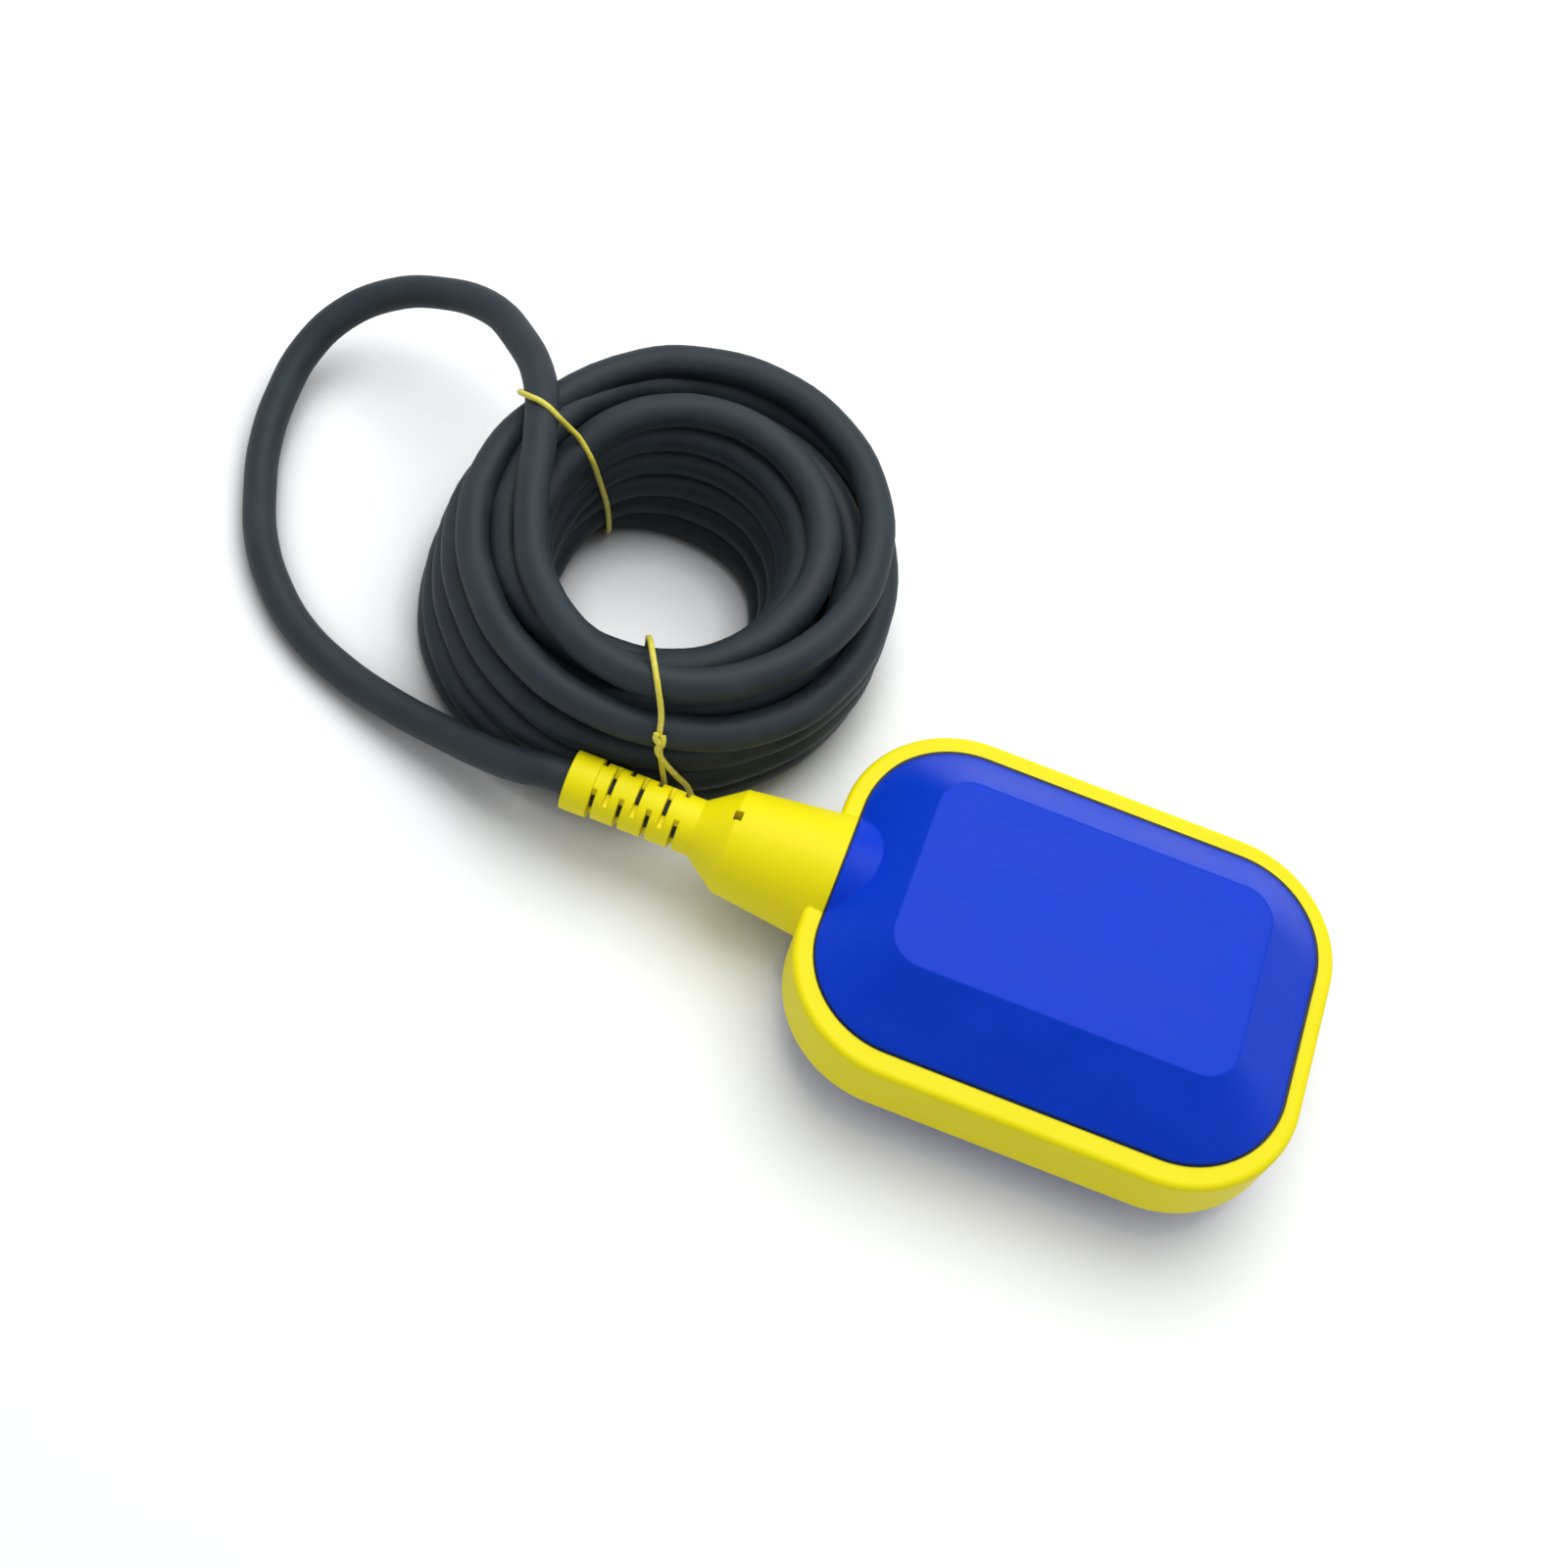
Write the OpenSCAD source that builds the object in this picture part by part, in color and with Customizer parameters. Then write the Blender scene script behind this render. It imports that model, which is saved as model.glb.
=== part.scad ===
// Cable float switch: a two-colour float on a coiled lead, with a rolling ball that works a microswitch.
// Millimetres. +X runs along the float away from its cable, +Z is up, and the float lies on its lower cover.
// The origin is under the middle of the float, neck and boot together.

/* [Float body] */
// Length of the yellow rim over its ends
body_l = 105; // [90:1:130]
// Width of the yellow rim over its sides
body_w = 80; // [76:1:100]
// Height of the float over both flat cover faces
body_h = 40; // [38:0.5:50]
// Height of the rim's outer wall
rim_h = 15; // [13:0.5:18]
// Thickness of the rim at its two ends
rim_end_wall = 3.85; // [3:0.05:5]
// Thickness of the rim along its two sides
rim_side_wall = 4.8; // [3.5:0.05:6]
// Outer corner radius of the rim, seen from above
rim_corner_r = 25; // [22:0.5:28]
// Rounding of the rim's upper and lower outer edges
rim_edge_r = 1.5; // [0.5:0.1:2.5]
// Height of the ledge inside the rim that both seals sit on
ledge_h = 8.8; // [8.8:0.2:10.4]
// Width of the ledge inside the rim
ledge_w = 4; // [3:0.5:6]

/* [Covers] */
// Shadow gap between the rim and a cover
cover_gap = 0.4; // [0.2:0.05:0.8]
// Wall of a cover
cover_wall = 2.6; // [1.8:0.1:3]
// Upright edge of a cover above the rim
cover_lip = 0.8; // [0.4:0.1:1.5]
// How far the bevel runs in, seen from above
bevel_run = 13.2; // [10:0.2:16]
// Thickness of a seal between the ledge and a cover
seal_t = 1.5; // [1:0.1:2]
// Width of a seal
seal_w = 2.2; // [1.5:0.1:2.6]
// How far the bulge over the cable stands above the neck's root
bulge_rise = 0.3; // [0:0.1:1]

/* [Neck and boot] */
// Radius of the neck at its root, inside the rim
neck_root_r = 13.9; // [12.5:0.1:14.5]
// Radius of the neck at its shoulder
neck_end_r = 11.1; // [10:0.1:12]
// Length of the neck from the rim to its shoulder
neck_l = 19; // [16:0.5:26]
// Wall of the hollow neck
neck_wall = 2.8; // [2:0.1:3.4]
// Length of the shoulder between neck and boot
shoulder_l = 7.2; // [5:0.1:10]
// Outer radius of the ribbed boot
boot_r = 6; // [5.6:0.1:7]
// Outer radius of the collar at the boot's mouth
collar_r = 6.3; // [5.8:0.1:7.5]
// Length of the collar at the boot's mouth
collar_l = 5.7; // [4:0.1:8]
// Distance from one boot slot to the next
slot_pitch = 2.95; // [2.5:0.05:3.5]
// Width of a boot slot
slot_w = 1.05; // [0.8:0.05:1.3]
// Length of the plain boot behind the last slot
boot_root_l = 3.45; // [3:0.05:8]
// Half width of the webs above and below the cable
top_web = 2.9; // [2:0.1:3.6]
// Half height of the webs on each side of the cable
side_web = 3.3; // [2.5:0.1:3.6]
// Length of the square window in the neck, along the cable
window_l = 1.7; // [1:0.1:3]
// Width of the square window in the neck
window_w = 2.1; // [1:0.1:3]

/* [Cable] */
// Outer diameter of the cable
cable_d = 7.4; // [6.6:0.1:7.8]
// Diameter of one insulated core
core_d = 2.2; // [1.6:0.1:2.4]
// Running clearance between the cable and the boot's bore
cable_fit = 0.1; // [0.05:0.05:0.3]
// Length of bare core at the free end of the cable
strip_l = 30; // [20:1:45]

/* [Coil] */
// Radius of the coil's hole
coil_in_r = 24.5; // [18:0.5:30]
// Outer radius of the coil
coil_out_r = 49; // [40:1:49]
// Height of the coil
coil_h = 45; // [30:1:45]
// Diameter of the wire that ties the coil
tie_d = 1.5; // [1:0.1:2]

/* [Cable clamp] */
// Length of the clamp along the cable
clamp_l = 8; // [6:0.5:10]
// Width of the clamp across the cable
clamp_w = 26; // [23:0.5:30]
// Thickness of the clamp above the cable's middle
clamp_h = 5.6; // [5:0.1:6.5]
// Distance between the two clamp screws
clamp_screw_span = 17; // [15:0.5:19]
// Thread diameter of the clamp screws
clamp_screw_d = 3; // [2.5:0.1:3.2]
// Gap left under the tightened clamp
clamp_gap = 0.4; // [0.2:0.1:1]

/* [Inner capsule] */
// Distance from the rim's far end to the sealed capsule
capsule_end_gap = 15.5; // [14:0.5:20]
// Length of bare core between the cable's end and the capsule
core_run = 8.65; // [7:0.05:12]
// Outer width of the sealed capsule
capsule_w = 48; // [47:1:50]
// Outer height of the sealed capsule, with its lid
capsule_h = 22; // [21:0.5:23]
// Wall of the capsule
capsule_wall = 2; // [1.6:0.1:2.2]
// Thickness of the capsule's lid
lid_t = 3; // [2.6:0.1:3.4]
// Corner radius of the capsule
capsule_r = 5; // [4:0.5:7]
// Diameter of the capsule's sealing ring
ring_t = 1.2; // [1:0.1:1.5]
// Radius of the posts that hold the capsule between the covers
post_r = 3; // [2:0.1:4]
// Distance of the posts from the capsule's ends
post_inset_x = 9; // [6:0.5:12]
// Distance of the posts from the capsule's sides
post_inset_y = 10; // [6:0.5:13]

/* [Ball and switch] */
// Diameter of the steel ball
ball_d = 12; // [11:0.1:12.4]
// How far the ball rolls
ball_travel = 12; // [8:0.5:12]
// Side clearance of the ball in its channel
ball_gap = 0.3; // [0.2:0.05:0.5]
// Thickness of the channel's walls
channel_wall = 1.5; // [1:0.1:1.8]
// Length of the microswitch case
case_l = 27.8; // [26:0.1:30]
// Distance from the capsule's cable end to the microswitch case
case_from_end = 14; // [12:0.5:16]
// Depth of the microswitch case, from its plunger face to its terminals
case_w = 15.9; // [14:0.1:16.5]
// Thickness of the microswitch case
case_t = 10.3; // [8:0.1:11]
// Length of the lever from its pivot
lever_l = 24; // [22:0.5:25]
// Thickness of the lever
lever_t = 0.5; // [0.3:0.05:0.6]
// Width of the lever
lever_w = 4; // [3:0.1:5]
// Angle of the lever from the case when the ball is away
lever_rest_deg = 13.4; // [13:0.1:14]
// Diameter of the lever's pivot pin
pin_d = 1; // [0.8:0.05:1.2]
// Distance of the plunger from the lever's pivot
plunger_at = 8; // [7.5:0.1:9]
// Diameter of the plunger
plunger_d = 1.6; // [1:0.1:2]
// Distance between the two switch screws
switch_screw_span = 22.2; // [20:0.1:23]
// Diameter of the switch screws
switch_screw_d = 2.8; // [2:0.1:3]
// Distance from the switch's end to its first terminal
blade_first = 4; // [3:0.5:5]
// Distance between the terminals
blade_pitch = 10; // [8:0.5:11]
// Width of a terminal blade
blade_w = 4.8; // [3.5:0.1:5]
// Length of a terminal blade outside the case
blade_l = 6.5; // [5:0.1:7]
// Thickness of a terminal blade
blade_t = 0.8; // [0.5:0.05:1]

/* [Hidden] */
$fn = 64;
yellow = "gold";
blue = "royalblue";

// Places shared by several pieces, in the float's own frame: its middle is at x = 0, z = 0.
slot_count = 7;
boot_l = collar_l + slot_w + (slot_count - 1) * slot_pitch + boot_root_l;
tail_l = neck_l + shoulder_l + boot_l;
float_x = tail_l / 2;
mid_z = body_h / 2;
rim_x = -body_l / 2;
shoulder_x = rim_x - neck_l;
boot_x = shoulder_x - shoulder_l;
mouth_x = boot_x - boot_l;
inner_l = body_l - 2 * rim_end_wall;
inner_w = body_w - 2 * rim_side_wall;
inner_r = rim_corner_r - (rim_end_wall + rim_side_wall) / 2;
cover_l = inner_l - 2 * cover_gap;
cover_w = inner_w - 2 * cover_gap;
cover_r = inner_r - cover_gap;
skirt_z = ledge_h / 2 + seal_t;
edge_z = rim_h / 2 + cover_lip;
face_z = body_h / 2;
bevel_slope = (face_z - edge_z) / bevel_run;
bevel_inset = cover_wall * sqrt(1 + 1 / pow(bevel_slope, 2));
bulge_r = neck_root_r + bulge_rise;
cable_r = cable_d / 2;
bore_r = cable_r + cable_fit;
seat_x = rim_x + rim_end_wall + cover_gap + cover_wall + 0.4;
clamp_x = seat_x + 0.6;
cable_in_x = clamp_x + clamp_l + 3;
post_z = capsule_h / 2;
capsule_in_x = cable_in_x + core_run;
capsule_l = body_l / 2 - capsule_end_gap - capsule_in_x;
capsule_x = capsule_in_x + capsule_l / 2;
post_span_x = capsule_l - 2 * post_inset_x;
post_span_y = capsule_w - 2 * post_inset_y;
floor_z = -capsule_h / 2 + capsule_wall;
lid_z = capsule_h / 2 - lid_t;
ball_y = -capsule_w / 2 + capsule_wall + ball_d / 2 + 1;
ball_r = ball_d / 2;
ball_z = floor_z + ball_r + 0.1;
case_x = capsule_in_x + case_from_end;
pivot_x = case_x + 3;
ball_x = pivot_x + plunger_at;
pivot_y = ball_y + ball_r + 3.55;
case_y = pivot_y + 1.5;
case_z = floor_z + 0.5;
blade_z = case_z + case_t / 2;
blade_y = case_y + case_w;
blade_xs = [for (i = [0 : 2]) case_x + blade_first + i * blade_pitch];
eye_r = pin_d / 2 + 0.55;
plunger_tip = tan(lever_rest_deg) * (plunger_at - plunger_d / 2) - lever_t / 2 - 0.15;
core_zs = [for (i = [-1 : 1]) i * 1.55 * core_d];
core_rows = [for (i = [3 : -1 : 1]) pivot_y + (2.75 + 1.3 * i) * core_d];
ledge_bore_r = bore_r + 0.2;
neck_in_r = neck_root_r - neck_wall;
neck_tip_r = neck_end_r - neck_wall;

// The free cable: round points chosen by hand, from the boot's mouth over the floor to the coil's top.
lead_route = [[-79.55, 0, 20], [-82.5, 0, 20], [-89, -0.3, 18.3], [-97.5, 1.3, 15], [-110, 5, 10],
    [-122.6, 8.6, 6.5], [-136, 13.1, 4.3], [-148.4, 19, 3.75], [-158.3, 27, 3.75], [-166.6, 37.2, 3.75],
    [-172.6, 49, 3.75], [-177, 61, 4.5], [-179, 73.7, 6.5], [-178.2, 85.5, 10], [-173.2, 94.8, 15],
    [-164, 100.6, 20.5], [-152.5, 101.6, 26], [-140.5, 97.5, 31.5], [-130.8, 88.8, 36], [-124.85, 81.2, 38.2]];
coil_at = [-81, 56.5];
tail_route = [[-50.01, 99.15, 3.75], [-54.87, 102.69, 3.75], [-61.2, 106.34, 3.75], [-68.16, 108.6, 3.75],
    [-75.44, 109.4, 3.75], [-82, 109.4, 3.75]];
tie_back_deg = 160;
tie_front_deg = -74;

// Placement helpers
module in_float() {
    translate([float_x, 0, mid_z]) children();
}

module tube_x(x0, x1, r, y = 0, z = 0) {
    translate([x0, y, z]) rotate([0, 90, 0]) cylinder(r = r, h = x1 - x0);
}

// A 2D profile, drawn outwards from the corner centre, carried round a rounded rectangle.
module round_sweep(l, w, r) {
    for (a = [0, 180]) {
        rotate([0, 0, a]) {
            translate([l / 2 - r, w / 2 - r, 0]) rotate_extrude(angle = 90) children();
            translate([-l / 2 + r, w / 2 - r, 0]) rotate([0, 0, 90]) rotate_extrude(angle = 90) children();
            translate([l / 2 - r, w / 2 - r, 0]) rotate([90, 0, 0]) linear_extrude(w - 2 * r) children();
            translate([-l / 2 + r, w / 2 - r, 0]) rotate([90, 0, 90]) linear_extrude(l - 2 * r) children();
        }
    }
}

module core_block(l, w, r, z0, z1) {
    translate([-l / 2 + r, -w / 2 + r, z0]) cube([l - 2 * r, w - 2 * r, z1 - z0]);
}

// An upright block with round corners
module round_block(l, w, r, z0, z1) {
    translate([0, 0, z0]) linear_extrude(z1 - z0) union() {
        square([l - 2 * r, w], center = true);
        square([l, w - 2 * r], center = true);
        for (x = [-1, 1], y = [-1, 1]) translate([x * (l / 2 - r), y * (w / 2 - r)]) circle(r = r);
    }
}

// A tube of the given sides swept along points, with rings square to the route
function unit(v) = v / norm(v);
function heading(p, i) = unit(p[min(i + 1, len(p) - 1)] - p[max(i - 1, 0)]);
function ring(p, i, r, sides, ref) =
    let (t = heading(p, i), n = unit(cross(ref, t)), b = cross(t, n))
    [for (k = [0 : sides - 1]) p[i] + r * (cos(360 * k / sides) * n + sin(360 * k / sides) * b)];

module swept_tube(p, r, sides, ref = [0, 0, 1]) {
    last = (len(p) - 1) * sides;
    points = [for (i = [0 : len(p) - 1]) each ring(p, i, r, sides, ref)];
    walls = [for (i = [0 : len(p) - 2], k = [0 : sides - 1])
        let (a = i * sides + k, b = i * sides + (k + 1) % sides) [a + sides, b + sides, b, a]];
    start = [for (k = [0 : sides - 1]) k];
    end = [for (k = [0 : sides - 1]) last + sides - 1 - k];
    polyhedron(points, concat([start], walls, [end]), convexity = 6);
}

// Frame: rim, ledge, neck, shoulder and ribbed boot in one yellow moulding
module rim_profile(r, h, e) {
    translate([0, -h / 2]) square([r - e, h]);
    translate([0, -h / 2 + e]) square([r, h - 2 * e]);
    for (s = [-1, 1]) translate([r - e, s * (h / 2 - e)]) circle(r = e);
}

module rim_solid() {
    round_sweep(body_l, body_w, rim_corner_r) intersection() {
        rim_profile(rim_corner_r, rim_h, rim_edge_r);
        translate([0, -rim_h]) square([rim_corner_r, 2 * rim_h]);
    }
    core_block(body_l, body_w, rim_corner_r, -rim_h / 2, rim_h / 2);
}

module neck_solid() {
    root_x = rim_x + rim_end_wall;
    translate([mouth_x, 0, 0]) rotate([90, 0, 90]) rotate_extrude() polygon([[0, 0], [collar_r, 0],
        [collar_r, collar_l], [boot_r, collar_l], [boot_r, boot_l], [neck_end_r, boot_l + shoulder_l],
        [neck_root_r, root_x - mouth_x], [0, root_x - mouth_x]]);
}

module boot_slots() {
    reach = 1.5 * collar_r;
    for (i = [0 : slot_count - 1]) {
        x = mouth_x + collar_l + i * slot_pitch;
        for (s = [-1, 1]) {
            if (i % 2 == 0)
                translate([x, s > 0 ? top_web : -top_web - reach, -reach]) cube([slot_w, reach, 2 * reach]);
            else
                translate([x, -reach, s > 0 ? side_web : -side_web - reach]) cube([slot_w, 2 * reach, reach]);
        }
    }
}

module frame() {
    color(yellow) in_float() difference() {
        union() {
            difference() {
                rim_solid();
                round_block(inner_l, inner_w, inner_r, -rim_h, rim_h);
            }
            difference() {
                round_block(inner_l + 1, inner_w + 1, inner_r, -ledge_h / 2, ledge_h / 2);
                round_block(inner_l - 2 * ledge_w, inner_w - 2 * ledge_w, inner_r - ledge_w, -rim_h, rim_h);
            }
            neck_solid();
            clamp_seat();
        }
        translate([shoulder_x + 1, 0, 0]) rotate([90, 0, 90]) rotate_extrude() polygon([[0, 0],
            [neck_tip_r, 0], [neck_in_r, neck_l - 1], [neck_in_r, neck_l + rim_end_wall], [0, neck_l + rim_end_wall]]);
        tube_x(mouth_x - 1, shoulder_x + 2, bore_r);
        tube_x(rim_x, clamp_x + clamp_l + 3, ledge_bore_r);
        boot_slots();
        translate([shoulder_x + 0.25 - window_l / 2, -window_w / 2, 0])
            cube([window_l, window_w, neck_root_r]);
        for (s = [-1, 1]) translate([clamp_x + clamp_l / 2, s * clamp_screw_span / 2, -mid_z])
            cylinder(d = clamp_screw_d, h = mid_z);
    }
}

// Seat for the cable clamp, joined to the ledge
module clamp_seat() {
    translate([rim_x + rim_end_wall - 0.5, -clamp_w / 2, -ledge_h / 2])
        cube([seat_x - rim_x - rim_end_wall + 1, clamp_w, ledge_h / 2 - clamp_gap / 2]);
    translate([seat_x, -clamp_w / 2, -cable_r - 3.4])
        cube([clamp_l + 1.2, clamp_w, cable_r + 3.4 - clamp_gap / 2]);
}

module cable_clamp() {
    color("dimgray") in_float() difference() {
        translate([clamp_x, -clamp_w / 2, clamp_gap / 2]) cube([clamp_l, clamp_w, clamp_h - clamp_gap / 2]);
        tube_x(clamp_x - 1, clamp_x + clamp_l + 1, cable_r + cable_fit / 2);
        for (s = [-1, 1]) translate([clamp_x + clamp_l / 2, s * clamp_screw_span / 2, -1])
            cylinder(d = clamp_screw_d + 0.3, h = clamp_h + 2);
    }
}

// A screw with a domed head and a cross-less slot, standing on its head's seat at z = 0
module pan_screw(d, head_d, head_h, l) {
    difference() {
        union() {
            cylinder(d = head_d, h = head_h);
            translate([0, 0, -l]) cylinder(d = d, h = l);
        }
        translate([-head_d, -d / 8, head_h * 0.45]) cube([2 * head_d, d / 4, head_h]);
    }
}

module clamp_screw(side) {
    color("silver") in_float() translate([clamp_x + clamp_l / 2, side * clamp_screw_span / 2, clamp_h])
        pan_screw(clamp_screw_d, 2 * clamp_screw_d - 0.4, 2, clamp_h + cable_r + 1);
}

module clamp_screw_left() {
    clamp_screw(1);
}

module clamp_screw_right() {
    clamp_screw(-1);
}

// Covers: bevelled shells with posts that hold the capsule, and a half-round bulge over the cable
module cover_profile(inset, z_skirt, z_edge, z_face, r) {
    polygon([[0, z_skirt], [r, z_skirt], [r, z_edge], [r - (z_face - z_edge) / bevel_slope, z_face], [0, z_face]]);
}

module cover_form(l, w, r, z_skirt, z_edge, z_face) {
    round_sweep(l, w, r) cover_profile(0, z_skirt, z_edge, z_face, r);
    core_block(l, w, r, z_skirt, z_face);
}

module cover() {
    t = cover_wall;
    in_edge_z = edge_z - (bevel_inset - t) * bevel_slope;
    end_x = -cover_l / 2;
    color(blue) in_float() {
        difference() {
            union() {
                cover_form(cover_l, cover_w, cover_r, skirt_z, edge_z, face_z);
                intersection() {
                    tube_x(end_x, end_x + bevel_run, bulge_r);
                    translate([end_x, -bulge_r, skirt_z]) cube([bevel_run, 2 * bulge_r, bulge_r]);
                }
            }
            cover_form(cover_l - 2 * t, cover_w - 2 * t, cover_r - t, skirt_z - 1, in_edge_z, face_z - t);
            tube_x(end_x + t, end_x + 7.2, bulge_r - t);
        }
        for (x = [-1, 1], y = [-1, 1])
            translate([capsule_x + x * post_span_x / 2, y * post_span_y / 2, post_z])
                cylinder(r = post_r, h = face_z - t - post_z + 0.5);
    }
}

module upper_cover() {
    cover();
}

module lower_cover() {
    translate([0, 0, body_h]) mirror([0, 0, 1]) cover();
}

module seal() {
    color("black") in_float() translate([0, 0, ledge_h / 2]) difference() {
        round_block(cover_l, cover_w, cover_r, 0, seal_t);
        round_block(cover_l - 2 * seal_w, cover_w - 2 * seal_w, cover_r - seal_w, -1, seal_t + 1);
    }
}

module upper_seal() {
    seal();
}

module lower_seal() {
    translate([0, 0, body_h]) mirror([0, 0, 1]) seal();
}

// Cable inside the boot and neck, its grommet and its cores
module cable_entry() {
    color("#1c1c1e") in_float() tube_x(mouth_x, cable_in_x, cable_r);
}

module cable_grommet() {
    x0 = shoulder_x + 2.2;
    grommet_l = neck_l * 0.55;
    slope = (neck_in_r - neck_tip_r) / (neck_l - 1);
    color("#2b2b2b") in_float() difference() {
        translate([x0, 0, 0]) rotate([0, 90, 0]) cylinder(r1 = neck_tip_r + 1.2 * slope - cable_fit,
            r2 = neck_tip_r + (1.2 + grommet_l) * slope - cable_fit, h = grommet_l);
        tube_x(x0 - 1, x0 + grommet_l + 1, cable_r + cable_fit / 2);
    }
}

module core(i, shade) {
    z = core_zs[i];
    x = blade_xs[i];
    row = core_rows[i];
    top = case_z + case_t + core_d * 0.65;
    drop = blade_y + blade_l / 2;
    color(shade) in_float() swept_tube([[cable_in_x, 0, z * 0.66], [cable_in_x + core_d * 0.4, 0, z * 0.66],
        [cable_in_x + core_d * 1.4, 0, z * 0.85],
        [capsule_in_x - core_d, 0, z], [capsule_in_x + 2 * core_d, 0, z],
        [capsule_in_x + 4 * core_d, row * 0.6, (z + top) / 2], [case_x - core_d / 2, row, top],
        [x - core_d, row + core_d * 0.15, top], [x - core_d * 0.25, row + core_d * 0.7, top],
        [x, max(row + core_d * 1.3, drop - core_d * 0.8), top], [x, drop - core_d * 0.1, top - core_d * 0.5],
        [x, drop, (top + blade_z) / 2], [x, drop, blade_z + blade_t / 2 + 0.05]],
        core_d / 2, 8, [1, -1, 1]);
}

module core_brown() {
    core(0, "saddlebrown");
}

module core_blue() {
    core(1, "blue");
}

module core_black() {
    core(2, "black");
}

// Sealed capsule with the ball's channel and the switch's pads
module capsule_base() {
    inner_cl = capsule_l - 2 * capsule_wall;
    inner_cw = capsule_w - 2 * capsule_wall;
    half = ball_r + ball_gap;
    x0 = ball_x - half;
    x1 = ball_x + ball_travel + half;
    color("white") in_float() difference() {
        union() {
            translate([capsule_x, 0, 0]) difference() {
                round_block(capsule_l, capsule_w, capsule_r, -capsule_h / 2, lid_z);
                round_block(inner_cl, inner_cw, capsule_r - capsule_wall, floor_z, capsule_h);
            }
            for (x = [x0 - channel_wall, x1]) translate([x, ball_y - half - channel_wall, floor_z - 0.5])
                cube([channel_wall, half + channel_wall + 2, ball_d * 0.7]);
            translate([x0, ball_y - half - channel_wall, floor_z - 0.5])
                cube([x1 - x0, channel_wall, ball_r + 0.5]);
            for (s = [-1, 1]) translate([case_x + case_l / 2 + s * switch_screw_span / 2, case_y + 3, floor_z - 0.5])
                cylinder(d = switch_screw_d + 3, h = case_z - floor_z + 0.5);
        }
        tube_x(capsule_in_x - 1, capsule_in_x + capsule_wall + 1, 5.6);
        for (s = [-1, 1]) translate([case_x + case_l / 2 + s * switch_screw_span / 2, case_y + 3, floor_z - 1.2])
            cylinder(d = switch_screw_d, h = capsule_h);
    }
}

module capsule_lid() {
    ring_r = capsule_r - capsule_wall / 2;
    color("white") in_float() translate([capsule_x, 0, 0]) difference() {
        union() {
            round_block(capsule_l, capsule_w, capsule_r, lid_z + 0.2, capsule_h / 2);
            round_block(capsule_l - 2 * capsule_wall - 0.4, capsule_w - 2 * capsule_wall - 0.4,
                capsule_r - capsule_wall - 0.2, lid_z - ring_t - 1, lid_z + 0.5);
        }
        round_block(capsule_l - 2 * capsule_wall - 4, capsule_w - 2 * capsule_wall - 4, ring_r - 2.2,
            lid_z - ring_t - 2, capsule_h / 2 - 1.5);
    }
}

module capsule_seal() {
    color("black") in_float() translate([capsule_x, 0, 0]) difference() {
        round_block(capsule_l - 0.8, capsule_w - 0.8, capsule_r - 0.4, lid_z, lid_z + 0.2);
        round_block(capsule_l - 2 * capsule_wall, capsule_w - 2 * capsule_wall, capsule_r - capsule_wall,
            lid_z - 1, lid_z + 1);
    }
}

module core_seal() {
    color("#2b2b2b") in_float() difference() {
        union() {
            tube_x(capsule_in_x - 0.8, capsule_in_x + capsule_wall + 0.8, 5.5);
            tube_x(capsule_in_x - 1.8, capsule_in_x - 0.1, 7);
        }
        for (z = core_zs) tube_x(capsule_in_x - 3, capsule_in_x + 6, core_d / 2 + 0.05, 0, z);
    }
}

// Microswitch: case, plunger, lever on its pin, and three terminal blades
module switch_case() {
    color("#303030") in_float() difference() {
        union() {
            translate([case_x, case_y, case_z]) cube([case_l, case_w, case_t]);
            for (s = [-1, 1]) translate([pivot_x, pivot_y, ball_z + s * (lever_w / 2 + 0.8) - 0.6]) {
                cylinder(r = eye_r + 0.3, h = 1.2);
                translate([-eye_r - 0.3, 0, 0]) cube([2 * eye_r + 0.6, case_y - pivot_y + 0.5, 1.2]);
            }
            translate([pivot_x + plunger_at, case_y, ball_z]) rotate([90, 0, 0]) cylinder(d = plunger_d + 2, h = 0.8);
        }
        translate([pivot_x, pivot_y, ball_z - case_t]) cylinder(d = pin_d, h = 2 * case_t);
        translate([pivot_x + plunger_at, case_y + 4, ball_z]) rotate([90, 0, 0])
            cylinder(d = plunger_d + 0.2, h = 8);
        for (s = [-1, 1]) translate([case_x + case_l / 2 + s * switch_screw_span / 2, case_y + 3, case_z - 1])
            cylinder(d = switch_screw_d + 0.2, h = case_t + 2);
        for (x = blade_xs) translate([x - blade_w / 2 - 0.05, blade_y - 3, blade_z - blade_t / 2 - 0.05])
            cube([blade_w + 0.1, 4, blade_t + 0.1]);
    }
}

module switch_plunger() {
    color("red") in_float() translate([pivot_x + plunger_at, case_y + 2.6, ball_z]) rotate([90, 0, 0])
        cylinder(d = plunger_d, h = case_y + 2.6 - pivot_y + plunger_tip);
}

module switch_lever() {
    color("silver") in_float() translate([pivot_x, pivot_y, ball_z]) rotate([0, 0, -lever_rest_deg])
        difference() {
            union() {
                translate([0, 0, -lever_w / 2]) cylinder(r = eye_r, h = lever_w);
                translate([0, -lever_t / 2, -lever_w / 2]) cube([lever_l, lever_t, lever_w]);
            }
            translate([0, 0, -lever_w]) cylinder(d = pin_d + 0.1, h = 2 * lever_w);
        }
}

module lever_pin() {
    color("gray") in_float() translate([pivot_x, pivot_y, ball_z - lever_w / 2 - 1.4])
        cylinder(d = pin_d, h = lever_w + 2.8);
}

module steel_ball() {
    color("silver") in_float() translate([ball_x, ball_y, ball_z]) sphere(r = ball_r);
}

module terminal(i) {
    color("goldenrod") in_float() translate([blade_xs[i] - blade_w / 2, blade_y - 2.8, blade_z - blade_t / 2])
        difference() {
            cube([blade_w, blade_l + 2.8, blade_t]);
            translate([blade_w / 2, blade_l + 0.6, -1]) cylinder(d = 1.6, h = 3);
        }
}

module terminal_common() {
    terminal(0);
}

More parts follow.
